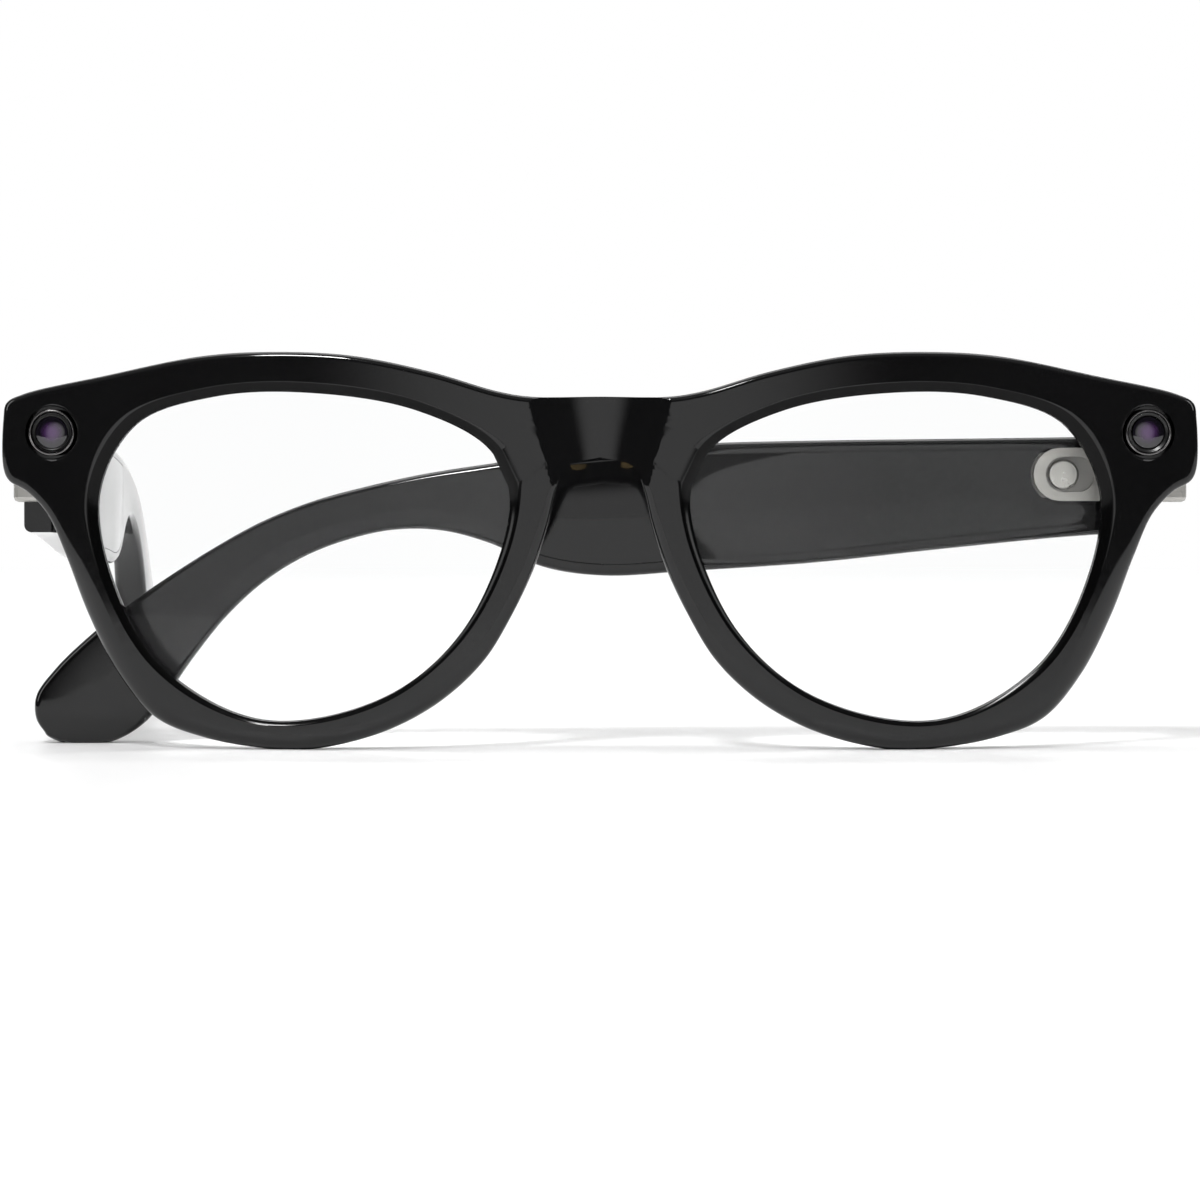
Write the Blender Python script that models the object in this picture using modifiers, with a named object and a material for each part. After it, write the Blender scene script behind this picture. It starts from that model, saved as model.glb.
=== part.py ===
"""Smart glasses: acetate front with lenses, camera and light, and two hollow temples on barrel hinges.

X runs across the face (the wearer's left is +X), Y runs back from the front, Z is up. Lengths are in
millimetres here and are turned into metres when a mesh is made. The wearer's left temple is folded and
the right one is open.
"""

import math

import bmesh
import bpy
import numpy as np
from mathutils import Matrix, Vector

MM = 0.001
OBJECT_NAME = "smart_glasses"

# Front
FACE_RADIUS = 400.0  # the front bends round the face on this radius
RIM_DEPTH = 4.0
END_PIECE_DEPTH = 6.6
END_PIECE_START = 60.0
END_PIECE_FULL = 65.0
LENS_CENTRE_X = 35.9
FRONT_STATIONS = 64
STAND_Z = -23.6  # the level that the rims and the temple tips stand on, with a small flat on each
Y_MIDDLE = 76.65  # halfway from the front to the open temple's tip
NOSE_PAD_RISE = 3.6
NOSE_PAD_X, NOSE_PAD_Z = 9.5, -0.5
NOSE_PAD_WIDTH, NOSE_PAD_HEIGHT = 4.2, 8.0

# Lens and its groove, measured back from the front face
GROOVE_DEPTH = 1.1
GROOVE_FRONT, GROOVE_BACK = 1.1, 2.7
LENS_FRONT, LENS_BACK = 1.4, 2.4
LENS_REACH = 0.75
LENS_RINGS = 4

# Camera and capture light
CAMERA_X, CAMERA_Z = 67.1, 15.0
POCKET_RADIUS, POCKET_DEPTH = 3.2, 4.9
BEZEL_RADIUS, BEZEL_HOLE = 2.85, 2.1
WINDOW_RADIUS = 1.8
BEZEL_SETBACK = 0.65
FLEX_HOLE_RADIUS = 0.8

# Charging contacts at the back of the bridge
CONTACT_X, CONTACT_Z, CONTACT_RADIUS = 3.2, 15.6, 1.0

# Hinges
HINGE_X, HINGE_Y = 66.4, 16.6
BARREL_RADIUS, PIN_RADIUS = 1.5, 0.6
PIN_CLEARANCE = 0.05
KNUCKLES = {"top": (13.2, 16.2), "middle": (10.1, 12.9), "bottom": (6.8, 9.8)}
HOUSING_BACK = 16.3
HOUSING_INNER, HOUSING_OUTER = 67.4, 72.6
HOUSING_BOTTOM, HOUSING_TOP = 6.4, 16.6
GAP = 0.3
BACK_CLEARANCE = 0.35
FOLD_REST_DEG = {"left": 90.0, "right": 0.0}

# Temples: inner face, thickness along the arm, and the length of the hollow part
INNER_FACE = -0.4  # from the hinge axis, outward
BUTT_Y = 0.2
HOLLOW_START, HOLLOW_END = 2.6, 76.0
WALL = 1.4
COVER_THICKNESS = 1.1
PLATE_LENGTH, PLATE_TOP, PLATE_BOTTOM = 12.6, 13.1, 6.5
PLATE_THICKNESS = 0.9
PLATE_MIDDLE = (PLATE_TOP + PLATE_BOTTOM) / 2

# Power switch
SLOT_CENTRE_Y, SLOT_LENGTH, SLOT_WIDTH = 8.0, 6.2, 4.4
SLIDER_RADIUS, SLIDER_TRAVEL = 1.85, 1.9

# Capture button
BUTTON_Y, BUTTON_LENGTH, BUTTON_WIDTH = 13.0, 8.0, 2.2
BUTTON_PROUD = 0.4

# Lens opening of the +X side, from the lens centre: outward, up
OPENING_POINTS = [
    (-24.95, 6.7), (-22.5, 12.9), (-13.5, 17.7), (0.0, 19.85), (11.2, 19.35), (20.6, 16.1),
    (25.2, 8.0), (23.9, -2.5), (17.6, -13.6), (5.4, -20.05), (-9.9, -17.1), (-19.8, -8.2),
]

# Outer edge of the +X half, from the top of the bridge round to the top of the nose arch
OUTLINE_POINTS = [
    (0.0, 19.35), (8.3, 19.35), (12.4, 20.0), (20.6, 22.4), (30.3, 24.35), (40.0, 24.8), (48.5, 24.3),
    (60.6, 21.9), (70.6, 19.7), (72.7, 18.6), (73.1, 16.6), (73.1, 10.6), (72.4, 9.1), (70.2, 7.8),
    (67.6, 5.0), (65.4, 0.0), (62.7, -7.2), (58.9, -14.6), (54.3, -19.9), (48.6, -22.2), (42.2, -23.4),
    (36.2, -23.7), (29.9, -22.6), (24.1, -20.5), (18.7, -17.2), (14.0, -12.6), (10.5, -6.8), (7.9, -1.2),
    (6.2, 4.0), (5.3, 8.0), (4.0, 10.9), (0.0, 12.0),
]

# Temple edges as pairs: distance from the hinge and height, for the top edge and for the bottom edge
TEMPLE_STATIONS = [
    ((0.2, 14.6), (0.2, 2.6)), ((10.0, 14.4), (10.0, 1.9)), ((25.0, 14.2), (25.0, 0.4)),
    ((40.0, 14.0), (40.0, -1.2)), ((55.0, 13.6), (55.0, -2.2)), ((66.0, 12.8), (66.0, -2.8)),
    ((74.0, 12.0), (73.5, -1.7)), ((81.0, 11.0), (80.0, 1.2)), ((88.0, 9.9), (86.0, 2.8)),
    ((95.0, 8.4), (92.0, 2.9)), ((102.0, 6.5), (98.0, 1.6)), ((108.5, 3.9), (103.5, -0.6)),
    ((114.5, 0.6), (108.5, -3.8)), ((120.0, -2.9), (113.0, -8.0)), ((125.5, -6.7), (117.0, -13.0)),
    ((130.3, -10.6), (120.3, -17.7)), ((134.2, -14.4), (123.2, -21.2)), ((136.6, -17.8), (127.0, -23.4)),
    ((136.6, -20.6), (131.0, -23.7)), ((135.5, -22.4), (132.9, -23.5)),
]
TEMPLE_THICKNESS = [(0.0, 5.6), (60.0, 5.6), (86.0, 4.4), (105.0, 4.0), (122.0, 4.6), (137.0, 3.8)]
STATIONS_PER_SPAN = 2
EDGE_BEVEL = 0.9


# Materials

def material(name, colour, roughness, metallic=0.0, alpha=1.0):
    made = bpy.data.materials.new(name)
    made.use_nodes = True
    shader = made.node_tree.nodes["Principled BSDF"]
    shader.inputs["Base Color"].default_value = (*colour, 1.0)
    shader.inputs["Roughness"].default_value = roughness
    shader.inputs["Metallic"].default_value = metallic
    shader.inputs["Alpha"].default_value = alpha
    return made


def finish_object(name, mesh_builder, colour, roughness, parent, collection, metallic=0.0, alpha=1.0):
    """Turns a bmesh in millimetres into a named object with its own material, in its parent's frame."""
    bmesh.ops.recalc_face_normals(mesh_builder, faces=mesh_builder.faces)
    bmesh.ops.scale(mesh_builder, vec=(MM, MM, MM), verts=mesh_builder.verts)
    mesh = bpy.data.meshes.new(name)
    mesh_builder.to_mesh(mesh)
    mesh_builder.free()
    made = bpy.data.objects.new(name, mesh)
    collection.objects.link(made)
    made.parent = parent
    made.data.materials.append(material(name, colour, roughness, metallic, alpha))
    mesh.shade_smooth()
    mesh.set_sharp_from_angle(angle=math.radians(35))
    return made


# Curves

def spline(points, per_span, closed=False):
    """Catmull-Rom curve through the points, centripetal, with per_span samples for each stretch."""
    points = [np.asarray(p, float) for p in points]
    count = len(points)
    if closed:
        ring = [points[-1], *points, points[0], points[1]]
        spans = count
    else:
        ring = [2 * points[0] - points[1], *points, 2 * points[-1] - points[-2]]
        spans = count - 1
    out = []
    for i in range(spans):
        p0, p1, p2, p3 = ring[i:i + 4]
        t0 = 0.0
        t1 = t0 + math.sqrt(np.linalg.norm(p1 - p0))
        t2 = t1 + math.sqrt(np.linalg.norm(p2 - p1))
        t3 = t2 + math.sqrt(np.linalg.norm(p3 - p2))
        for k in range(per_span):
            t = t1 + (t2 - t1) * k / per_span
            a1 = (t1 - t) / (t1 - t0) * p0 + (t - t0) / (t1 - t0) * p1
            a2 = (t2 - t) / (t2 - t1) * p1 + (t - t1) / (t2 - t1) * p2
            a3 = (t3 - t) / (t3 - t2) * p2 + (t - t2) / (t3 - t2) * p3
            b1 = (t2 - t) / (t2 - t0) * a1 + (t - t0) / (t2 - t0) * a2
            b2 = (t3 - t) / (t3 - t1) * a2 + (t - t1) / (t3 - t1) * a3
            out.append((t2 - t) / (t2 - t1) * b1 + (t - t1) / (t2 - t1) * b2)
    if not closed:
        out.append(points[-1])
    return np.array(out)


def resample(curve, count):
    """The same open curve with count points, closer together where it turns."""
    steps = np.linalg.norm(np.diff(curve, axis=0), axis=1)
    ahead = np.diff(curve, axis=0) / steps[:, None]
    turn = np.zeros(len(steps))
    turn[1:] = np.arccos(np.clip((ahead[1:] * ahead[:-1]).sum(1), -1, 1))
    weight = np.concatenate([[0], np.cumsum(steps / steps.sum() + 0.45 * turn / turn.sum())])
    at = np.linspace(0, weight[-1], count)
    return np.stack([np.interp(at, weight, curve[:, k]) for k in range(2)], axis=1)


def smoothstep(low, high, value):
    t = np.clip((value - low) / (high - low), 0, 1)
    return t * t * (3 - 2 * t)


def face_y(x):
    """Depth of the front's outer face: it bends back towards the temples."""
    return x * x / (2 * FACE_RADIUS)


def front_depth(x, z):
    """Thickness of the front, deeper at the end pieces and at the nose pads."""
    outward = smoothstep(END_PIECE_START, END_PIECE_FULL, x)
    end_piece = (END_PIECE_DEPTH - RIM_DEPTH) * outward * smoothstep(2.0, 8.0, z)
    across = math.exp(-(((x - NOSE_PAD_X) / NOSE_PAD_WIDTH) ** 2))
    along = math.exp(-(((z - NOSE_PAD_Z) / NOSE_PAD_HEIGHT) ** 2))
    return RIM_DEPTH + end_piece + NOSE_PAD_RISE * across * along


# Front

def opening_curve(samples_per_span):
    """Edge of the lens opening on the +X side, as angle and radius about the lens centre, sorted by angle."""
    curve = spline(OPENING_POINTS, samples_per_span, closed=True)
    angle = np.arctan2(curve[:, 1], curve[:, 0])
    order = np.argsort(angle)
    return angle[order], np.hypot(curve[:, 0], curve[:, 1])[order]


def opening_point(angle, table, reach=0.0):
    angles, radii = table
    radius = np.interp(angle, angles, radii, period=2 * math.pi) + reach
    return np.array([LENS_CENTRE_X + radius * math.cos(angle), radius * math.sin(angle)])


def front_stations():
    """Matched points on the outer edge and angles on the lens opening, clockwise from the bridge's top."""
    outer = resample(spline(OUTLINE_POINTS, 12), FRONT_STATIONS)
    polar = np.unwrap(np.arctan2(outer[:, 1], outer[:, 0] - LENS_CENTRE_X))
    even = np.linspace(polar[0], polar[-1], len(polar))
    inner = 0.75 * np.minimum.accumulate(polar) + 0.25 * even
    ahead = np.gradient(outer, axis=0)
    normal = np.stack([ahead[:, 1], -ahead[:, 0]], axis=1)
    normal /= np.linalg.norm(normal, axis=1)[:, None]
    for end in (0, -1):
        normal[end] = (0.0, math.copysign(1.0, normal[end][1]))
    return outer, inner, normal


def front_section(outer, angle, inward, table):
    """One closed section of the rim, from the opening's front edge outward and back again."""
    edge = opening_point(angle, table)
    out = np.array([math.cos(angle), math.sin(angle)])

    def place(flat, depth, from_back=False):
        x, z = flat
        back = front_depth(x, z) if from_back else 0.0
        return (x, face_y(x) + back + depth, z)

    face_in, face_out = edge + 0.45 * out, outer + 1.5 * inward
    back_in, back_out = edge + 0.6 * out, outer + 1.2 * inward
    lip = edge + 0.15 * out
    groove = edge + GROOVE_DEPTH * out
    return [
        place(face_in, 0),
        place(0.5 * (face_in + face_out), 0),
        place(face_out, 0),
        place(outer + 0.45 * inward, 0.4),
        place(outer, 1.4),
        place(outer, -1.2, True),
        place(outer + 0.35 * inward, -0.35, True),
        place(back_out, 0, True),
        place(0.5 * (back_in + back_out), 0, True),
        place(back_in, 0, True),
        place(lip, -0.5, True),
        place(lip, GROOVE_BACK),
        place(groove, GROOVE_BACK),
        place(groove, GROOVE_FRONT),
        place(edge, GROOVE_FRONT),
        place(edge, 0.5),
    ]


def front_mesh():
    """The +X half of the front as rings round the lens, left open at X = 0 for the Mirror modifier."""
    outer, angles, normal = front_stations()
    table = opening_curve(24)
    sections = [front_section(o, a, n, table) for o, a, n in zip(outer, angles, normal)]
    builder = bmesh.new()
    rings = [[builder.verts.new(p) for p in section] for section in sections]
    for ring in (rings[0], rings[-1]):
        for vert in ring[2:8]:
            vert.co.x = 0.0
    around = len(rings[0])
    open_from, open_to = 2, 7  # the stretch of the section that lies on the mirror plane
    for k, ring in enumerate(rings):
        following = rings[(k + 1) % len(rings)]
        for j in range(around):
            if k == len(rings) - 1 and open_from <= j < open_to:
                continue
            after = (j + 1) % around
            builder.faces.new((ring[j], ring[after], following[after], following[j]))
    return builder


def add_mirror(made):
    mirror = made.modifiers.new("mirror", "MIRROR")
    mirror.use_axis = (True, False, False)
    mirror.merge_threshold = 0.00005
    mirror.use_clip = True


def lens_mesh(side):
    """Curved lens blank that reaches into the groove."""
    table = opening_curve(24)
    builder = bmesh.new()
    angles = np.linspace(-math.pi, math.pi, 48, endpoint=False)
    sheets = []
    for depth in (LENS_FRONT, LENS_BACK):
        centre = builder.verts.new((side * LENS_CENTRE_X, face_y(LENS_CENTRE_X) + depth, 0))
        rings = []
        for step in range(1, LENS_RINGS + 1):
            ring = []
            for angle in angles:
                flat = opening_point(angle, table, LENS_REACH)
                x = LENS_CENTRE_X + (flat[0] - LENS_CENTRE_X) * step / LENS_RINGS
                ring.append(builder.verts.new((side * x, face_y(x) + depth, flat[1] * step / LENS_RINGS)))
            rings.append(ring)
        for j in range(len(angles)):
            after = (j + 1) % len(angles)
            builder.faces.new((centre, rings[0][j], rings[0][after]))
            for inner, wider in zip(rings, rings[1:]):
                builder.faces.new((inner[j], wider[j], wider[after], inner[after]))
        sheets.append(rings[-1])
    for j in range(len(angles)):
        after = (j + 1) % len(angles)
        builder.faces.new((sheets[0][j], sheets[0][after], sheets[1][after], sheets[1][j]))
    return builder


# Simple solids

def block(low, high):
    builder = bmesh.new()
    bmesh.ops.create_cube(builder, size=1.0)
    low, high = Vector(low), Vector(high)
    bmesh.ops.scale(builder, vec=high - low, verts=builder.verts)
    bmesh.ops.translate(builder, vec=(low + high) / 2, verts=builder.verts)
    return builder


def rod(radius, start, end, sides=32):
    """Cylinder between two points on a line along X, Y or Z."""
    builder = bmesh.new()
    start, end = Vector(start), Vector(end)
    along = end - start
    turn = along.to_track_quat("Z", "Y").to_matrix().to_4x4()
    bmesh.ops.create_cone(
        builder, cap_ends=True, segments=sides, radius1=radius, radius2=radius, depth=along.length,
        matrix=Matrix.Translation((start + end) / 2) @ turn,
    )
    return builder


def slab(outline, low, high, axis):
    """Flat outline extruded from low to high along axis. The outline holds the other two coordinates."""
    builder = bmesh.new()

    def place(point, height):
        coords = list(point)
        coords.insert("XYZ".index(axis), height)
        return coords

    base = builder.faces.new([builder.verts.new(place(p, low)) for p in outline])
    moved = bmesh.ops.extrude_face_region(builder, geom=[base])["geom"]
    step = [0, 0, 0]
    step["XYZ".index(axis)] = high - low
    bmesh.ops.translate(builder, vec=step, verts=[v for v in moved if isinstance(v, bmesh.types.BMVert)])
    return builder


def stadium(centre, length, width, steps=10):
    """Outline with two half-round ends, long in its first coordinate."""
    radius = width / 2
    out = []
    for side, start in ((1, -90), (-1, 90)):
        for k in range(steps + 1):
            angle = math.radians(start + 180 * k / steps)
            out.append((centre[0] + side * (length / 2 - radius) + radius * math.cos(angle),
                        centre[1] + radius * math.sin(angle)))
    return out


def round_end_plate(start, end, low, high, steps=10):
    """Outline with a square end at start and a half-round end at end."""
    radius = (high - low) / 2
    out = [(start, high), (start, low)]
    for k in range(steps + 1):
        angle = math.radians(-90 + 180 * k / steps)
        out.append((end - radius + radius * math.cos(angle), (low + high) / 2 + radius * math.sin(angle)))
    return out


def washer(radius, hole, start_y, end_y, centre, steps=32):
    """Ring about a line along Y."""
    builder = bmesh.new()
    rings = []
    for r, y in ((radius, start_y), (radius, end_y), (hole, end_y), (hole, start_y)):
        angles = [2 * math.pi * k / steps for k in range(steps)]
        ring = [(centre[0] + r * math.cos(a), y, centre[1] + r * math.sin(a)) for a in angles]
        rings.append([builder.verts.new(p) for p in ring])
    for ring, following in zip(rings, rings[1:] + rings[:1]):
        for k in range(steps):
            after = (k + 1) % steps
            builder.faces.new((ring[k], ring[after], following[after], following[k]))
    return builder


# Booleans

def cut(made, builder, name, cutters, parent, operation="DIFFERENCE"):
    """Cuts made with a hidden tool object, or joins the tool to it."""
    tool = finish_object(name, builder, (0.8, 0.3, 0.1), 0.5, parent, cutters)
    tool.hide_render = True
    tool.display_type = "WIRE"
    change = made.modifiers.new(name, "BOOLEAN")
    change.operation = operation
    change.solver = "EXACT"
    change.object = tool


def bevel(made, width, segments=2):
    change = made.modifiers.new("bevel", "BEVEL")
    change.width = width * MM
    change.segments = segments
    change.limit_method = "ANGLE"


# Temples

def temple_curves():
    """Fine matched points along the top and bottom edges, and the thickness at each."""
    top = spline([pair[0] for pair in TEMPLE_STATIONS], STATIONS_PER_SPAN)
    bottom = spline([pair[1] for pair in TEMPLE_STATIONS], STATIONS_PER_SPAN)
    thickness = np.interp(top[:, 0], *zip(*TEMPLE_THICKNESS))
    return top, bottom, thickness


def temple_loft(
    side, low=None, high=None, inset=0.0, inner=INNER_FACE, depth=None, outer_wall=0.0, edge=EDGE_BEVEL,
):
    """Solid between the temple's edges. low and high cut its length, inset its height."""
    top, bottom, thickness = temple_curves()
    if low is not None:
        at = np.concatenate([[low], [s for s in top[:, 0] if low + 1 < s < high - 1], [high]])
        thickness = np.interp(at, top[:, 0], thickness)
        top = np.stack([at, np.interp(at, top[:, 0], top[:, 1])], axis=1)
        bottom = np.stack([at, np.interp(at, bottom[:, 0], bottom[:, 1])], axis=1)
    builder = bmesh.new()
    rings = []
    for upper, lower, thick in zip(top, bottom, thickness):
        down = (lower - upper) / np.linalg.norm(lower - upper)
        upper, lower = upper + inset * down, lower - inset * down
        outer = inner + depth if depth else INNER_FACE + thick - outer_wall
        outline = [
            (inner, upper + edge * down), (inner + edge, upper),
            (outer - edge, upper), (outer, upper + edge * down),
            (outer, lower - edge * down), (outer - edge, lower),
            (inner + edge, lower), (inner, lower - edge * down),
        ] if edge else [(inner, upper), (outer, upper), (outer, lower), (inner, lower)]
        rings.append([builder.verts.new((side * a, p[0], p[1])) for a, p in outline])
    for ring, following in zip(rings, rings[1:]):
        for j in range(len(ring)):
            after = (j + 1) % len(ring)
            builder.faces.new((ring[j], ring[after], following[after], following[j]))
    builder.faces.new(rings[0])
    builder.faces.new(rings[-1])
    return builder


def build_front(root, parts, cutters):
    acetate = (0.012, 0.012, 0.013)
    frame = finish_object("front_frame", front_mesh(), acetate, 0.12, root, parts)
    add_mirror(frame)
    cut(frame, block((-70, -5, STAND_Z - 3), (70, 20, STAND_Z)), "cut_rim_feet", cutters, root)
    for name, side in (("left", 1), ("right", -1)):
        face = face_y(CAMERA_X)
        centre = (side * CAMERA_X, CAMERA_Z)

        def at(depth):
            return (centre[0], face + depth, centre[1])

        cut(frame, rod(POCKET_RADIUS, at(-3), at(POCKET_DEPTH)), f"cut_pocket_{name}", cutters, root)
        flex_hole = rod(FLEX_HOLE_RADIUS, at(POCKET_DEPTH - 0.5), at(END_PIECE_DEPTH + 2), 16)
        cut(frame, flex_hole, f"cut_flex_hole_{name}", cutters, root)
        finish_object(f"lens_{name}", lens_mesh(side), (0.95, 0.97, 0.97), 0.02, root, parts, alpha=0.25)
        is_camera = name == "left"
        stem = "camera" if is_camera else "light"
        ring = washer(BEZEL_RADIUS, BEZEL_HOLE, face + BEZEL_SETBACK, face + 1.7, centre)
        finish_object(f"{stem}_bezel_{name}", ring, (0.25, 0.25, 0.25), 0.25, root, parts, metallic=1.0)
        finish_object(f"{stem}_window_{name}", rod(WINDOW_RADIUS, at(BEZEL_SETBACK + 0.3), at(1.5)),
                      (0.03, 0.01, 0.06), 0.03, root, parts)
        barrel_name = f"camera_barrel_{name}" if is_camera else f"light_pipe_{name}"
        finish_object(barrel_name, rod(2.6, at(2.0), at(3.4)), (0.02, 0.02, 0.02), 0.4, root, parts)
        low, high = (centre[0] - 1.9, face + 3.7, centre[1] - 1.9), (centre[0] + 1.9, face + 4.5, centre[1] + 1.9)
        chip = block(low, high)
        finish_object(f"camera_sensor_{name}" if is_camera else f"capture_led_{name}", chip,
                      (0.05, 0.12, 0.05), 0.5, root, parts)
    for name, x in (("left", CONTACT_X), ("right", -CONTACT_X)):
        hole = rod(CONTACT_RADIUS + GAP, (x, 2.6, CONTACT_Z), (x, 6.0, CONTACT_Z), 24)
        cut(frame, hole, f"cut_contact_{name}", cutters, root)
        pad = rod(CONTACT_RADIUS, (x, 2.9, CONTACT_Z), (x, RIM_DEPTH + 0.1, CONTACT_Z), 24)
        finish_object(f"charging_contact_{name}", pad, (0.8, 0.62, 0.3), 0.25, root, parts, metallic=1.0)


def build_hinge_front(name, side, root, parts, cutters):
    """Metal housing behind the end piece, with the upper and lower knuckles, and the pin."""
    metal = (0.55, 0.54, 0.51)
    back = face_y(HOUSING_OUTER) + END_PIECE_DEPTH + BACK_CLEARANCE
    low, high = (back, HOUSING_BOTTOM), (HOUSING_BACK, HOUSING_TOP)
    body = sided_block(side, HOUSING_INNER, HOUSING_OUTER, low, high)
    housing = finish_object(f"hinge_housing_{name}", body, metal, 0.3, root, parts, metallic=1.0)
    bevel(housing, 0.6)
    web = sided_block(
        side, HINGE_X - 0.4, HINGE_X + 1.6,
        (back + 0.6, HOUSING_BOTTOM + 0.4), (HOUSING_BACK - 0.5, HOUSING_TOP - 0.4),
    )
    cut(housing, web, f"join_web_{name}", cutters, root, "UNION")
    for level in ("top", "bottom"):
        low_z, high_z = KNUCKLES[level]
        knuckle = rod(BARREL_RADIUS, (side * HINGE_X, HINGE_Y, low_z), (side * HINGE_X, HINGE_Y, high_z))
        cut(housing, knuckle, f"join_knuckle_{level}_{name}", cutters, root, "UNION")
    low_z, high_z = KNUCKLES["middle"]
    axis = (side * HINGE_X, HINGE_Y)
    space = rod(BARREL_RADIUS + BACK_CLEARANCE, (*axis, low_z - GAP), (*axis, high_z + GAP))
    cut(housing, space, f"cut_knuckle_space_{name}", cutters, root)
    bore = rod(PIN_RADIUS + PIN_CLEARANCE, (side * HINGE_X, HINGE_Y, 5), (side * HINGE_X, HINGE_Y, 18), 24)
    cut(housing, bore, f"cut_front_bore_{name}", cutters, root)
    pin = rod(PIN_RADIUS, (side * HINGE_X, HINGE_Y, 7.0), (side * HINGE_X, HINGE_Y, 16.6), 24)
    pin = finish_object(f"hinge_screw_{name}", pin, (0.6, 0.6, 0.6), 0.2, root, parts, metallic=1.0)
    head = rod(1.2, (side * HINGE_X, HINGE_Y, 16.5), (side * HINGE_X, HINGE_Y, 17.2), 24)
    cut(pin, head, f"join_screw_head_{name}", cutters, root, "UNION")


def build_hinge_plate(name, side, arm, parts, cutters):
    """Inner metal plate of the temple, with the middle knuckle. The left one has the power switch's slot."""
    metal = (0.58, 0.57, 0.54)
    outline = round_end_plate(1.9, PLATE_LENGTH, PLATE_BOTTOM, PLATE_TOP)
    faces = sorted((side * (INNER_FACE - 0.1), side * (INNER_FACE + PLATE_THICKNESS)))
    sheet = slab(outline, *faces, "X")
    plate = finish_object(f"hinge_plate_{name}", sheet, metal, 0.35, arm, parts, metallic=1.0)
    low_z, high_z = KNUCKLES["middle"]
    web = block((faces[0], 0.2, low_z), (faces[1], 2.6, high_z))
    cut(plate, web, f"join_plate_web_{name}", cutters, arm, "UNION")
    knuckle = rod(BARREL_RADIUS, (0, 0, low_z), (0, 0, high_z))
    cut(plate, knuckle, f"join_plate_knuckle_{name}", cutters, arm, "UNION")
    bore = rod(PIN_RADIUS + PIN_CLEARANCE, (0, 0, 5), (0, 0, 18), 24)
    cut(plate, bore, f"cut_plate_bore_{name}", cutters, arm)
    if name == "left":
        slot = slab(stadium((SLOT_CENTRE_Y, PLATE_MIDDLE), SLOT_LENGTH, SLOT_WIDTH), -3, 3, "X")
        cut(plate, slot, "cut_switch_slot", cutters, arm)


def sided(side, inner, outer):
    """The two X values for a stretch that runs outward from the hinge axis, lowest first."""
    return sorted((side * inner, side * outer))


def sided_block(side, inner, outer, low, high):
    """Box between two distances outward and two (Y, Z) corners."""
    x = sided(side, inner, outer)
    return block((x[0], *low), (x[1], *high))


def build_shells(name, side, arm, parts, cutters):
    """Outer shell of the temple and the cover that closes it on the inner side, cut round the hinge plate."""
    acetate = (0.012, 0.012, 0.013)
    shell = finish_object(f"temple_shell_{name}", temple_loft(side), acetate, 0.12, arm, parts)
    hollow = temple_loft(side, HOLLOW_START, HOLLOW_END, WALL, INNER_FACE - 2.0, None, WALL, 0.0)
    cut(shell, hollow, f"cut_hollow_{name}", cutters, arm)
    clearance = rod(BARREL_RADIUS + 0.35, (0, 0, -2), (0, 0, 20))
    cut(shell, clearance, f"cut_barrel_space_{name}", cutters, arm)
    pocket = round_end_plate(-1.0, PLATE_LENGTH + GAP, PLATE_BOTTOM - GAP, PLATE_TOP + GAP)
    recess = slab(pocket, *sided(side, -3.0, INNER_FACE + PLATE_THICKNESS + GAP), "X")
    cut(shell, recess, f"cut_plate_recess_{name}", cutters, arm)
    lid = temple_loft(
        side, HOLLOW_START + GAP, HOLLOW_END - GAP, WALL + GAP, INNER_FACE, COVER_THICKNESS, 0.0, 0.0,
    )
    cover = finish_object(f"temple_cover_{name}", lid, acetate, 0.12, arm, parts)
    cut(cover, slab(pocket, *sided(side, -3.0, 3.0), "X"), f"cut_cover_pocket_{name}", cutters, arm)
    foot = sided_block(side, -5.0, 10.0, (90.0, STAND_Z - 3), (140.0, STAND_Z))
    cut(shell, foot, f"cut_tip_foot_{name}", cutters, arm)
    return shell


def build_inner_pieces(name, side, arm, parts):
    """What the hollow part of a temple holds, from the hinge to the ear."""
    inner = INNER_FACE + COVER_THICKNESS + GAP
    outer = inner + 2.4
    board_green, can_grey = (0.02, 0.13, 0.06), (0.55, 0.55, 0.57)
    board = sided_block(side, outer - 0.8, outer, (17.5, 3.8), (42.0, 11.6))
    board_name = f"main_board_{name}" if name == "right" else f"audio_board_{name}"
    finish_object(board_name, board, board_green, 0.45, arm, parts)
    can = sided_block(side, inner, outer - 1.1, (19.0, 4.6), (29.0, 10.8))
    can = finish_object(f"shield_can_{name}", can, can_grey, 0.3, arm, parts, metallic=1.0)
    bevel(can, 0.3)
    chip = sided_block(side, inner + 0.4, outer - 1.1, (31.5, 5.0), (39.5, 10.4))
    finish_object(f"memory_chip_{name}" if name == "right" else f"amplifier_chip_{name}", chip,
                  (0.03, 0.03, 0.03), 0.5, arm, parts)
    cell = finish_object(f"battery_{name}", sided_block(side, inner, outer, (43.5, 2.6), (60.0, 10.8)),
                         (0.72, 0.73, 0.75), 0.35, arm, parts, metallic=1.0)
    bevel(cell, 0.8, 3)
    box = sided_block(side, inner, outer - 0.5, (61.5, 2.2), (73.5, 9.6))
    speaker = finish_object(f"speaker_{name}", box, (0.05, 0.05, 0.055), 0.5, arm, parts)
    bevel(speaker, 0.5)


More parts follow.
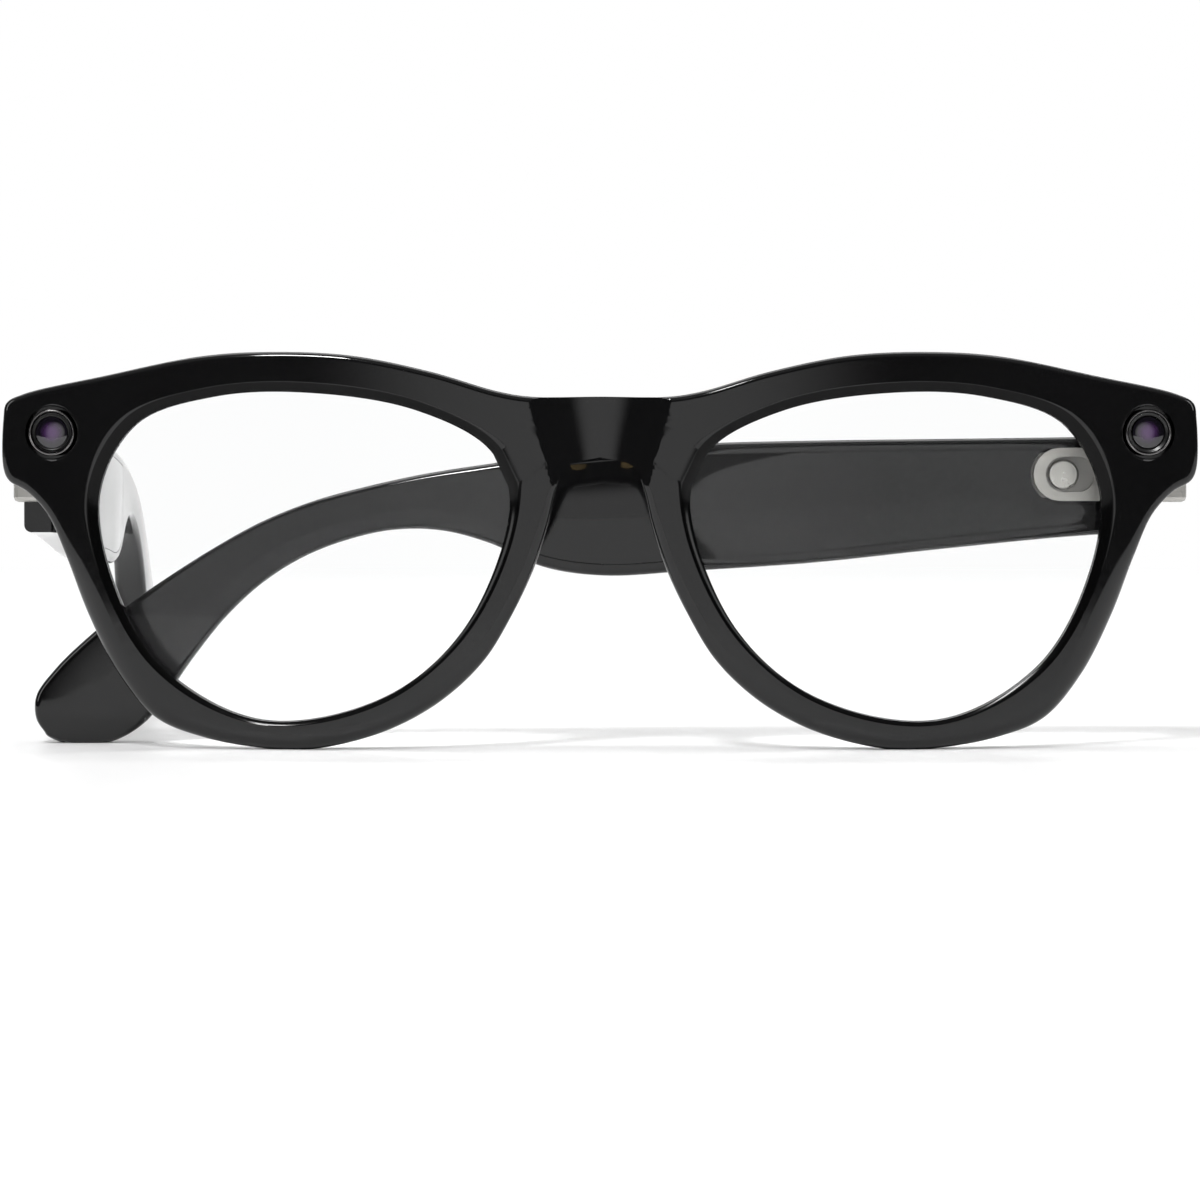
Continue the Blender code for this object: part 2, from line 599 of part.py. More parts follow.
def build_speaker_port(name, side, arm, shell, parts, cutters):
    """Slot under the ear end of the shell with the grille that fills it."""
    middle = INNER_FACE + 2.8
    slot = slab(stadium((0, 0), 9.0, 1.8), -4.0, 0.4, "Z")
    grille = slab(stadium((0, 0), 9.0 - 2 * GAP, 1.8 - 2 * GAP), -2.2, -1.3, "Z")
    for builder in (slot, grille):
        bmesh.ops.rotate(builder, matrix=Matrix.Rotation(math.pi / 2, 3, "Z"), verts=builder.verts)
        bmesh.ops.translate(builder, vec=(side * middle, 62.0, 0.0), verts=builder.verts)
    cut(shell, slot, f"cut_speaker_slot_{name}", cutters, arm)
    finish_object(f"speaker_grille_{name}", grille, (0.09, 0.09, 0.09), 0.45, arm, parts, metallic=1.0)


def build_power_switch(side, arm, parts):
    """Slider in the left plate's slot, and the switch module that it works."""
    rest_y = SLOT_CENTRE_Y + SLIDER_TRAVEL / 2 - 0.1
    ends = [(side * across, rest_y, PLATE_MIDDLE) for across in (INNER_FACE - 0.35, INNER_FACE + 1.2)]
    slider = finish_object(
        "power_slider", rod(SLIDER_RADIUS, *ends), (0.6, 0.59, 0.56), 0.3, arm, parts, metallic=1.0,
    )
    bevel(slider, 0.25)
    module = sided_block(side, INNER_FACE + 1.6, INNER_FACE + 3.4, (4.0, 6.9), (13.0, 12.5))
    finish_object("power_switch_module", module, (0.04, 0.04, 0.045), 0.5, arm, parts)


def build_capture_button(side, arm, shell, parts, cutters):
    """Button in the top of the right temple, over its dome switch."""
    middle = side * (INNER_FACE + 2.8)
    top = 14.35
    slot = slab(stadium((0, 0), BUTTON_LENGTH + 2 * GAP, BUTTON_WIDTH + 2 * GAP), top - 3.0, top + 2.0, "Z")
    button = slab(stadium((0, 0), BUTTON_LENGTH, BUTTON_WIDTH), top - 1.3, top + BUTTON_PROUD, "Z")
    for builder in (slot, button):
        bmesh.ops.rotate(builder, matrix=Matrix.Rotation(math.pi / 2, 3, "Z"), verts=builder.verts)
        bmesh.ops.translate(builder, vec=(middle, BUTTON_Y, 0.0), verts=builder.verts)
    cut(shell, slot, "cut_button_slot", cutters, arm)
    made = finish_object("capture_button", button, (0.015, 0.015, 0.016), 0.2, arm, parts)
    bevel(made, 0.25)
    dome = sided_block(
        side, INNER_FACE + 1.6, INNER_FACE + 4.0, (BUTTON_Y - 2.5, top - 3.4), (BUTTON_Y + 2.5, top - 1.9),
    )
    finish_object("capture_switch", dome, (0.5, 0.5, 0.48), 0.4, arm, parts, metallic=1.0)
    touch = sided_block(side, INNER_FACE + 3.95, INNER_FACE + 4.1, (20.0, 3.4), (50.0, 11.6))
    finish_object("touch_sensor", touch, (0.55, 0.33, 0.12), 0.4, arm, parts, metallic=1.0)


def main():
    for old in list(bpy.data.objects):
        bpy.data.objects.remove(old)
    parts = bpy.data.collections.new(OBJECT_NAME)
    cutters = bpy.data.collections.new("cutters")
    for collection in (parts, cutters):
        bpy.context.scene.collection.children.link(collection)
    root = bpy.data.objects.new("glasses_frame", None)
    root.location = (0, -Y_MIDDLE * MM, -STAND_Z * MM)
    parts.objects.link(root)
    build_front(root, parts, cutters)
    for name, side in (("left", 1), ("right", -1)):
        build_hinge_front(name, side, root, parts, cutters)
        arm = bpy.data.objects.new(f"fold_axis_{name}", None)
        arm.location = (side * HINGE_X * MM, HINGE_Y * MM, 0)
        arm.rotation_euler = (0, 0, side * math.radians(FOLD_REST_DEG[name]))
        arm.parent = root
        parts.objects.link(arm)
        shell = build_shells(name, side, arm, parts, cutters)
        build_hinge_plate(name, side, arm, parts, cutters)
        build_inner_pieces(name, side, arm, parts)
        build_speaker_port(name, side, arm, shell, parts, cutters)
        if name == "left":
            build_power_switch(side, arm, parts)
        else:
            build_capture_button(side, arm, shell, parts, cutters)


main()
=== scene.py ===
"""Looks of the smart glasses: fine acetate front and temples, lenses, metal trim, materials, light and camera.

Lengths are in millimetres in the front's own frame: X to the wearer's left, Y back from the front, Z up from the lens
centres. A temple's pieces are drawn in that temple's frame, with its origin on the hinge axis and Y along the arm.
make_piece moves both into the CAD's frame, in metres. The lights, the floor and the camera are placed in metres.
"""

import math

import bmesh
import bpy
import numpy as np
from mathutils import Matrix, Vector


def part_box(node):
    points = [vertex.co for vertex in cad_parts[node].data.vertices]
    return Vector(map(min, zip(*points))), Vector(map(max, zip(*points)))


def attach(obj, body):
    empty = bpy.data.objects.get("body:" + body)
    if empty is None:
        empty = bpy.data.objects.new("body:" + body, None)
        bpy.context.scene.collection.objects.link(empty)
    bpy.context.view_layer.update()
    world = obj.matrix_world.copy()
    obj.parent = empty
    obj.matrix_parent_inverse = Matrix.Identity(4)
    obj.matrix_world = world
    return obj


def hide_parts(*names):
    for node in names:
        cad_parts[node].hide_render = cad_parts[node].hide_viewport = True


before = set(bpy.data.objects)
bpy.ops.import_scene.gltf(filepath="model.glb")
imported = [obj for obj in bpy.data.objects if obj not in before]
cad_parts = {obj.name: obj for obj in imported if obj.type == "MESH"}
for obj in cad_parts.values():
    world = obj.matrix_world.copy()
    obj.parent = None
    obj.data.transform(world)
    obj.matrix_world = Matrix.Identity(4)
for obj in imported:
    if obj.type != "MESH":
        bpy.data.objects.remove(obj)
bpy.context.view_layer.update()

MM = 0.001
STAND_Z = -23.6  # height of the surface it stands on
FRONT_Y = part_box("front_frame")[0][1] / MM  # where the front's outer face lies in the CAD's frame
TO_CAD = Vector((0.0, FRONT_Y, -STAND_Z))
SIDES = (("left", 1), ("right", -1))

# Front
FACE_RADIUS = 400.0
RIM_DEPTH, END_PIECE_DEPTH, PAD_RISE = 4.0, 6.6, 3.6
LENS_X = 35.9
LENS_FACES = (1.4, 2.4)  # depths of a lens's two faces behind the front's face
LENS_REACH = 0.75  # how far a lens goes into its groove
GROOVE_DEPTH, GROOVE_FRONT, GROOVE_BACK = 1.1, 1.1, 2.7
BACK_ROUND = 1.1  # rounding on the back's outer edge
BACK_BEVEL_WIDTH, BACK_BEVEL_DEPTH = 0.9, 0.6  # rounding on the back of the lens opening
SCOOP_DEPTH, SCOOP_HALF_WIDTH, SCOOP_TAPER, SCOOP_FOOT_Z = 1.15, 5.7, 0.272, 8.07
CAMERA_X, CAMERA_Z = 67.1, 15.0
POCKET_RADIUS, POCKET_RIM_RADIUS = 3.2, 3.5
# reach of the painted violet reflection in the middle of the camera and light windows
GLASS_REFLECTION_RADIUS = 1.7
CONTACT_X, CONTACT_Z = 3.2, 15.6

# Temples
HINGE_X, HINGE_Y = 66.4, 16.6
INNER_FACE = -0.4  # inner face of a temple, outward from the hinge axis
REST_TURN = {"left": 90.0, "right": 0.0}  # how far each temple is folded at rest, in degrees
WALL, COVER_THICKNESS = 1.4, 1.1
COVER_GAP, COVER_END_GAP = 0.07, 0.08
HOLLOW_START, HOLLOW_END = 2.6, 76.0
SLOT_MIDDLE = INNER_FACE + 2.8  # middle of the temple's thickness, where the speaker port and the button sit
TEMPLE_ROUND = 0.9

# Light: the room, the soft ceiling, and the soft panel behind the camera that the front reflects
ROOM, SKY, GLOW = 0.04, 0.3, 0.9
ROOM_SEEN = 1.0  # how bright the room is where the camera looks straight at it

OPENING_POINTS = [
    (-24.95, 6.7), (-22.5, 12.9), (-13.5, 17.7), (0.0, 19.85), (11.2, 19.35), (20.6, 16.1),
    (25.2, 8.0), (23.9, -2.5), (17.6, -13.6), (5.4, -20.05), (-9.9, -17.1), (-19.8, -8.2),
]
OUTLINE_POINTS = [
    (0.0, 19.35), (8.3, 19.35), (12.4, 20.0), (20.6, 22.4), (30.3, 24.35), (40.0, 24.8), (48.5, 24.3),
    (60.6, 21.9), (70.6, 19.7), (72.7, 18.6), (73.1, 16.6), (73.1, 10.6), (72.4, 9.1), (70.2, 7.8),
    (67.6, 5.0), (65.4, 0.0), (62.7, -7.2), (58.9, -14.6), (54.3, -19.9), (48.6, -22.2), (42.2, -23.4),
    (36.2, -23.7), (29.9, -22.6), (24.1, -20.5), (18.7, -17.2), (14.0, -12.6), (10.5, -6.8), (7.9, -1.2),
    (6.2, 4.0), (5.3, 8.0), (4.0, 10.9), (0.0, 12.0),
]
TEMPLE_STATIONS = [
    ((0.2, 14.6), (0.2, 2.6)), ((10.0, 14.4), (10.0, 1.9)), ((25.0, 14.2), (25.0, 0.4)),
    ((40.0, 14.0), (40.0, -1.2)), ((55.0, 13.6), (55.0, -2.2)), ((66.0, 12.8), (66.0, -2.8)),
    ((74.0, 12.0), (73.5, -1.7)), ((81.0, 11.0), (80.0, 1.2)), ((88.0, 9.9), (86.0, 2.8)),
    ((95.0, 8.4), (92.0, 2.9)), ((102.0, 6.5), (98.0, 1.6)), ((108.5, 3.9), (103.5, -0.6)),
    ((114.5, 0.6), (108.5, -3.8)), ((120.0, -2.9), (113.0, -8.0)), ((125.5, -6.7), (117.0, -13.0)),
    ((130.3, -10.6), (120.3, -17.7)), ((134.2, -14.4), (123.2, -21.2)), ((136.6, -17.8), (127.0, -23.4)),
    ((136.6, -20.6), (131.0, -23.7)), ((135.5, -22.4), (132.9, -23.5)),
]
TEMPLE_THICKNESS = [(0.0, 5.6), (60.0, 5.6), (86.0, 4.4), (105.0, 4.0), (122.0, 4.6), (137.0, 3.8)]


# Curves

def spline(points, per_span, closed=False):
    """Centripetal Catmull-Rom curve through the points."""
    points = [np.asarray(p, float) for p in points]
    if closed:
        ring, spans = [points[-1], *points, points[0], points[1]], len(points)
    else:
        ring, spans = [2 * points[0] - points[1], *points, 2 * points[-1] - points[-2]], len(points) - 1
    out = []
    for i in range(spans):
        p0, p1, p2, p3 = ring[i:i + 4]
        t0 = 0.0
        t1 = t0 + math.sqrt(np.linalg.norm(p1 - p0))
        t2 = t1 + math.sqrt(np.linalg.norm(p2 - p1))
        t3 = t2 + math.sqrt(np.linalg.norm(p3 - p2))
        for k in range(per_span):
            t = t1 + (t2 - t1) * k / per_span
            a1 = (t1 - t) / (t1 - t0) * p0 + (t - t0) / (t1 - t0) * p1
            a2 = (t2 - t) / (t2 - t1) * p1 + (t - t1) / (t2 - t1) * p2
            a3 = (t3 - t) / (t3 - t2) * p2 + (t - t2) / (t3 - t2) * p3
            b1 = (t2 - t) / (t2 - t0) * a1 + (t - t0) / (t2 - t0) * a2
            b2 = (t3 - t) / (t3 - t1) * a2 + (t - t1) / (t3 - t1) * a3
            out.append((t2 - t) / (t2 - t1) * b1 + (t - t1) / (t2 - t1) * b2)
    if not closed:
        out.append(points[-1])
    return np.array(out)


def smooth(values, rounds):
    """Evens a list of numbers or points out along an open curve, keeping its ends."""
    values = np.array(values, float)
    for _ in range(rounds):
        values[1:-1] = (values[:-2] + 2 * values[1:-1] + values[2:]) / 4
    return values


def smoothstep(low, high, value):
    t = np.clip((np.asarray(value) - low) / (high - low), 0, 1)
    return t * t * (3 - 2 * t)


def resample(curve, count):
    """Points along the curve, closer together where it turns."""
    steps = np.linalg.norm(np.diff(curve, axis=0), axis=1)
    ahead = np.diff(curve, axis=0) / steps[:, None]
    turn = np.zeros(len(steps))
    turn[1:] = np.arccos(np.clip((ahead[1:] * ahead[:-1]).sum(1), -1, 1))
    weight = np.concatenate([[0], np.cumsum(steps / steps.sum() + 0.45 * turn / turn.sum())])
    at = np.linspace(0, weight[-1], count)
    return np.stack([np.interp(at, weight, curve[:, k]) for k in range(2)], axis=1)


def face_y(x):
    """How far the front's face lies back at x, for its bend."""
    return x * x / (2 * FACE_RADIUS)


def front_depth(x, z):
    """Thickness of the front: the rims, deeper end pieces, and nose pads that rise from the back."""
    end_piece = (END_PIECE_DEPTH - RIM_DEPTH) * smoothstep(60.0, 65.0, x) * smoothstep(2.0, 8.0, z)
    pad = math.exp(-(((x - 9.5) / 4.2) ** 2)) * math.exp(-(((z + 0.5) / 8.0) ** 2))
    return RIM_DEPTH + end_piece + PAD_RISE * pad


# Meshes to objects

def finish_edges(made, angle=35.0):
    """Shades smooth, with an edge sharper than the angle left hard."""
    made.data.shade_smooth()
    made.data.set_sharp_from_angle(angle=math.radians(angle))


def make_piece(name, builder, material, body, at=None):
    """Object from a bmesh in millimetres, in the front's frame or in a temple's frame, riding on a body."""
    bmesh.ops.recalc_face_normals(builder, faces=builder.faces)
    place = Matrix.Scale(MM, 4) @ Matrix.Translation(TO_CAD) @ (at or Matrix.Identity(4))
    bmesh.ops.transform(builder, matrix=place, verts=builder.verts)
    mesh = bpy.data.meshes.new(name)
    builder.to_mesh(mesh)
    builder.free()
    made = bpy.data.objects.new(name, mesh)
    bpy.context.scene.collection.objects.link(made)
    if material:
        mesh.materials.append(material)
    finish_edges(made)
    if body:
        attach(made, body)
    return made


def arm_frame(name, side):
    """A temple's own frame at rest: origin on the hinge axis, Y along the arm."""
    turn = Matrix.Rotation(side * math.radians(REST_TURN[name]), 4, "Z")
    return Matrix.Translation((side * HINGE_X, HINGE_Y, 0)) @ turn


def bake(made, modifier_type, **settings):
    """Adds a modifier and applies it at once."""
    change = made.modifiers.new("change", modifier_type)
    for key, value in settings.items():
        setattr(change, key, value)
    bpy.context.view_layer.update()
    fresh = bpy.data.meshes.new_from_object(made.evaluated_get(bpy.context.evaluated_depsgraph_get()))
    made.modifiers.clear()
    made.data = fresh


def cut(made, builder, at=None):
    """Takes the builder's solid away from a piece."""
    tool = make_piece("tool", builder, None, None, at)
    bake(made, "BOOLEAN", operation="DIFFERENCE", solver="MANIFOLD", object=tool)
    bpy.data.objects.remove(tool)


def join_rings(builder, rings):
    """Faces between rings of the same size."""
    around = len(rings[0])
    for ring, following in zip(rings, rings[1:]):
        for j in range(around):
            after = (j + 1) % around
            builder.faces.new((ring[j], ring[after], following[after], following[j]))


def bridge_rings(builder, rings):
    """Closed run of rings: the faces between them, and a flat cap on each end."""
    join_rings(builder, rings)
    builder.faces.new(rings[0])
    builder.faces.new(rings[-1])


def block(low, high):
    """Box between two corners."""
    builder = bmesh.new()
    bmesh.ops.create_cube(builder, size=1.0)
    low, high = Vector(low), Vector(high)
    bmesh.ops.scale(builder, vec=high - low, verts=builder.verts)
    bmesh.ops.translate(builder, vec=(low + high) / 2, verts=builder.verts)
    return builder


def turned(profile, centre, steps=96):
    """Solid of revolution about a line along Y through centre. The profile holds (radius, y) points."""
    builder = bmesh.new()
    rings = []
    for radius, y in profile:
        if radius <= 0:
            rings.append([builder.verts.new((centre[0], y, centre[1]))])
            continue
        turns = [2 * math.pi * k / steps for k in range(steps)]
        ring = [(centre[0] + radius * math.cos(a), y, centre[1] + radius * math.sin(a)) for a in turns]
        rings.append([builder.verts.new(p) for p in ring])
    hollow = profile[0][0] > 0
    pairs = zip(rings, rings[1:] + rings[:1]) if hollow else zip(rings, rings[1:])
    for ring, following in pairs:
        for k in range(steps):
            after = (k + 1) % steps
            if len(ring) == 1:
                builder.faces.new((ring[0], following[k], following[after]))
            elif len(following) == 1:
                builder.faces.new((ring[k], ring[after], following[0]))
            else:
                builder.faces.new((ring[k], ring[after], following[after], following[k]))
    return builder


def cylinder_y(radius, centre, low, high, steps=96):
    return turned([(0, low), (radius, low), (radius, high), (0, high)], centre, steps)


def cylinder_z(radius, low, high, steps=48):
    builder = bmesh.new()
    rings = []
    for z in (low, high):
        turns = [2 * math.pi * k / steps for k in range(steps)]
        rings.append([builder.verts.new((radius * math.cos(a), radius * math.sin(a), z)) for a in turns])
    bridge_rings(builder, rings)
    return builder


def slab(outline, low, high, axis="X"):
    """Flat plate with the outline, between two heights along the axis."""
    builder = bmesh.new()
    rings = []
    for height in (low, high):
        ring = []
        for point in outline:
            coords = list(point)
            coords.insert("XYZ".index(axis), height)
            ring.append(builder.verts.new(coords))
        rings.append(ring)
    bridge_rings(builder, rings)
    return builder


# Materials

def new_material(name, colour, roughness, metallic=0.0, **sockets):
    """Principled material. Further sockets are named with underscores for spaces."""
    made = bpy.data.materials.new(name)
    made.use_nodes = True
    shader = made.node_tree.nodes["Principled BSDF"]
    shader.inputs["Base Color"].default_value = (*colour, 1.0)
    shader.inputs["Roughness"].default_value = roughness
    shader.inputs["Metallic"].default_value = metallic
    for key, value in sockets.items():
        shader.inputs[key.replace("_", " ")].default_value = value
    return made


def noise_node(made, scale, detail=3.0, stretch=(1, 1, 1)):
    """Noise in object coordinates, stretched along an axis for brushed lines."""
    nodes, links = made.node_tree.nodes, made.node_tree.links
    coords = nodes.new("ShaderNodeTexCoord")
    mapping = nodes.new("ShaderNodeMapping")
    mapping.inputs["Scale"].default_value = stretch
    noise = nodes.new("ShaderNodeTexNoise")
    noise.inputs["Scale"].default_value = scale
    noise.inputs["Detail"].default_value = detail
    links.new(coords.outputs["Object"], mapping.inputs["Vector"])
    links.new(mapping.outputs["Vector"], noise.inputs["Vector"])
    return noise


def vary(made, noise, socket, low, high, band=(0.3, 0.7)):
    """Feeds a socket from a noise, between two numbers or two colours."""
    nodes, links = made.node_tree.nodes, made.node_tree.links
    shader = nodes["Principled BSDF"]
    if isinstance(low, tuple):
        ramp = nodes.new("ShaderNodeValToRGB")
        ramp.color_ramp.elements[0].position, ramp.color_ramp.elements[1].position = band
        ramp.color_ramp.elements[0].color = (*low, 1.0)
        ramp.color_ramp.elements[1].color = (*high, 1.0)
        links.new(noise.outputs["Fac"], ramp.inputs["Fac"])
        links.new(ramp.outputs["Color"], shader.inputs[socket])
        return
    between = nodes.new("ShaderNodeMapRange")
    between.inputs["From Min"].default_value, between.inputs["From Max"].default_value = band
    between.inputs["To Min"].default_value = low
    between.inputs["To Max"].default_value = high
    links.new(noise.outputs["Fac"], between.inputs["Value"])
    links.new(between.outputs["Result"], shader.inputs[socket])


def bump(made, noise, strength, distance):
    """Raises the surface by the noise, in metres."""
    nodes, links = made.node_tree.nodes, made.node_tree.links
    raised = nodes.new("ShaderNodeBump")
    raised.inputs["Strength"].default_value = strength
    raised.inputs["Distance"].default_value = distance
    links.new(noise.outputs["Fac"], raised.inputs["Height"])
    links.new(raised.outputs["Normal"], nodes["Principled BSDF"].inputs["Normal"])


def acetate(name, colour, roughness, gloss=0.5):
    """Tumble-polished acetate: deep gloss, a slow ripple from polishing and a faint haze of fine marks."""
    made = new_material(name, colour, roughness, IOR=1.5, Specular_IOR_Level=gloss)
    slow = noise_node(made, 55.0, 1.0)
    vary(made, slow, "Base Color", colour, tuple(c * 1.35 for c in colour))
    fine = noise_node(made, 900.0, 4.0)
    vary(made, fine, "Roughness", roughness * 0.75, roughness * 1.4)
    bump(made, slow, 0.03, 0.0004)
    return made


def metal(name, colour, roughness, stretch=(1, 1, 30), scale=260.0, depth=0.06):
    """Metal with a fine directional brushing and slightly uneven tone."""
    made = new_material(name, colour, roughness, metallic=1.0)
    lines = noise_node(made, scale, 4.0, stretch)
    vary(made, lines, "Roughness", roughness * 0.8, roughness * 1.35)
    cloud = noise_node(made, 240.0, 2.0)
    vary(made, cloud, "Base Color", tuple(c * 0.9 for c in colour), colour)
    bump(made, lines, depth, 0.00002)
    return made


def plastic(name, colour, roughness, scale=1500.0, depth=0.12):
    """Moulded plastic with a fine spark-eroded grain."""
    made = new_material(name, colour, roughness)
    grain = noise_node(made, scale, 3.0)
    vary(made, grain, "Roughness", roughness * 0.85, roughness * 1.2)
    vary(made, grain, "Base Color", tuple(c * 0.85 for c in colour), tuple(c * 1.15 for c in colour))
    bump(made, grain, depth, 0.00003)
    return made


def circuit(name, mask, copper):
    """Circuit board: solder mask with the faint relief of tracks under it."""
    made = new_material(name, mask, 0.35)
    nodes, links = made.node_tree.nodes, made.node_tree.links
    coords = nodes.new("ShaderNodeTexCoord")
    tracks = nodes.new("ShaderNodeTexBrick")
    tracks.inputs["Scale"].default_value = 420.0
    tracks.inputs["Mortar Size"].default_value = 0.03
    tracks.inputs["Color1"].default_value = (*mask, 1)
    tracks.inputs["Color2"].default_value = (*[c * 1.3 for c in mask], 1)
    tracks.inputs["Mortar"].default_value = (*copper, 1)
    links.new(coords.outputs["Object"], tracks.inputs["Vector"])
    links.new(tracks.outputs["Color"], nodes["Principled BSDF"].inputs["Base Color"])
    return made


def mesh_metal(name):
    """Woven dark wire cloth of the speaker grilles."""
    made = new_material(name, (0.07, 0.07, 0.072), 0.4, metallic=1.0)
    nodes, links = made.node_tree.nodes, made.node_tree.links
    coords = nodes.new("ShaderNodeTexCoord")
    holes = nodes.new("ShaderNodeTexVoronoi")
    holes.inputs["Scale"].default_value = 2600.0
    holes.inputs["Randomness"].default_value = 0.0
    ramp = nodes.new("ShaderNodeValToRGB")
    ramp.color_ramp.elements[0].position, ramp.color_ramp.elements[1].position = 0.25, 0.45
    ramp.color_ramp.elements[0].color = (0.004, 0.004, 0.004, 1)
    ramp.color_ramp.elements[1].color = (0.12, 0.12, 0.125, 1)
    links.new(coords.outputs["Object"], holes.inputs["Vector"])
    links.new(holes.outputs["Distance"], ramp.inputs["Fac"])
    links.new(ramp.outputs["Color"], nodes["Principled BSDF"].inputs["Base Color"])
    return made


def lens_glass():
    """Clear lens: uncoloured, with the slightest haze of handling marks."""
    made = new_material("clear_lens", (0.985, 0.99, 0.99), 0.0, Transmission_Weight=1.0, IOR=1.22)
    smear = noise_node(made, 120.0, 3.0)
    vary(made, smear, "Roughness", 0.0, 0.012, (0.45, 0.8))
    return made


def camera_glass(name, centre):
    """Dark coated glass with a painted violet reflection in its middle, where a coated lens would reflect violet."""
    made = new_material(name, (0.004, 0.002, 0.006), 0.03, Coat_Weight=1.0, Coat_Roughness=0.01)
    nodes, links = made.node_tree.nodes, made.node_tree.links
    coords = nodes.new("ShaderNodeTexCoord")
    shift = nodes.new("ShaderNodeVectorMath")
    shift.operation = "SUBTRACT"
    shift.inputs[1].default_value = centre
    grow = nodes.new("ShaderNodeVectorMath")
    grow.operation = "SCALE"
    grow.inputs["Scale"].default_value = 1.0 / (GLASS_REFLECTION_RADIUS * MM)
    glow = nodes.new("ShaderNodeTexGradient")
    glow.gradient_type = "SPHERICAL"
    # painted reflection: violet in the window's middle, fading to dark glass towards its edge
    ramp = nodes.new("ShaderNodeValToRGB")
    ramp.color_ramp.elements[0].position, ramp.color_ramp.elements[1].position = 0.15, 0.75
    ramp.color_ramp.elements[0].color = (0.003, 0.002, 0.005, 1)
    ramp.color_ramp.elements[1].color = (0.06, 0.02, 0.09, 1)
    links.new(coords.outputs["Object"], shift.inputs[0])
    links.new(shift.outputs["Vector"], grow.inputs[0])
    links.new(grow.outputs["Vector"], glow.inputs["Vector"])
    links.new(glow.outputs["Fac"], ramp.inputs["Fac"])
    links.new(ramp.outputs["Color"], nodes["Principled BSDF"].inputs["Base Color"])
    return made


# Front

def station_points(count):
    """Matched points round the rim: outer edge, angle on the opening, inward normal."""
    outer = resample(spline(OUTLINE_POINTS, 60), count)
    polar = np.unwrap(np.arctan2(outer[:, 1], outer[:, 0] - LENS_X))
    even = np.linspace(polar[0], polar[-1], len(polar))
    inner = smooth(0.75 * np.minimum.accumulate(polar) + 0.25 * even, 12)
    ahead = np.gradient(outer, axis=0)
    normal = np.stack([ahead[:, 1], -ahead[:, 0]], axis=1)
    normal /= np.linalg.norm(normal, axis=1)[:, None]
    for end in (0, -1):
        normal[end] = (0.0, math.copysign(1.0, normal[end][1]))
    normal = smooth(normal, 10)
    normal /= np.linalg.norm(normal, axis=1)[:, None]
    return outer, inner, normal


def opening_table():
    """The lens opening as radius over angle about the lens's centre."""
    curve = spline(OPENING_POINTS, 80, closed=True)
    angle = np.arctan2(curve[:, 1], curve[:, 0])
    order = np.argsort(angle)
    return angle[order], np.hypot(curve[:, 0], curve[:, 1])[order]


def opening_point(angle, table, reach=0.0):
    radius = np.interp(angle, *table, period=2 * math.pi) + reach
    return np.array([LENS_X + radius * math.cos(angle), radius * math.sin(angle)])


def edge_sizes(outer):
    """Width and depth of the rounding on the rim's outer front edge: wide below and outside, thin along the top."""
    x, z = outer[:, 0], outer[:, 1]
    lower = smoothstep(4.0, -6.0, z) * smoothstep(8.0, 20.0, x)
    nasal = smoothstep(13.0, 7.0, x) * smoothstep(9.0, 3.0, z)
    width = 0.75 + 1.55 * lower + 0.55 * nasal
    depth = 0.7 + 1.2 * lower + 0.5 * nasal
    return smooth(width, 30), smooth(depth, 30)


def within_curve(outer, width):
    """Width capped where the edge turns more tightly than the rounding would fit."""
    ahead = np.gradient(outer, axis=0)
    turn = np.gradient(np.unwrap(np.arctan2(ahead[:, 1], ahead[:, 0])))
    steps = np.linalg.norm(ahead, axis=1)
    radius = np.where(turn < -1e-6, steps / np.maximum(-turn, 1e-6), 1e3)
    low = 0.6 * radius
    for _ in range(6):
        low = np.minimum(low, np.minimum(np.roll(low, 1), np.roll(low, -1)) + 0.03)
    return smooth(np.minimum(width, np.maximum(low, 0.25)), 4)


def inner_sizes(angles):
    """Width and depth of the bevel round the lens opening: about a millimetre, less along the bottom."""
    up = np.sin(angles)
    out = np.cos(angles)
    width = 0.55 + 0.65 * smoothstep(-0.75, 0.3, up) + 0.25 * smoothstep(0.3, 0.9, out)
    return smooth(width, 30), smooth(0.35 + 0.45 * smoothstep(-0.75, 0.3, up), 30)


def across(start, end, inward, t):
    """Point on a curve that arrives square to the outer edge."""
    middle = end + min(0.45 * np.linalg.norm(end - start), 2.6) * inward
    return (1 - t) ** 2 * start + 2 * t * (1 - t) * middle + t * t * end


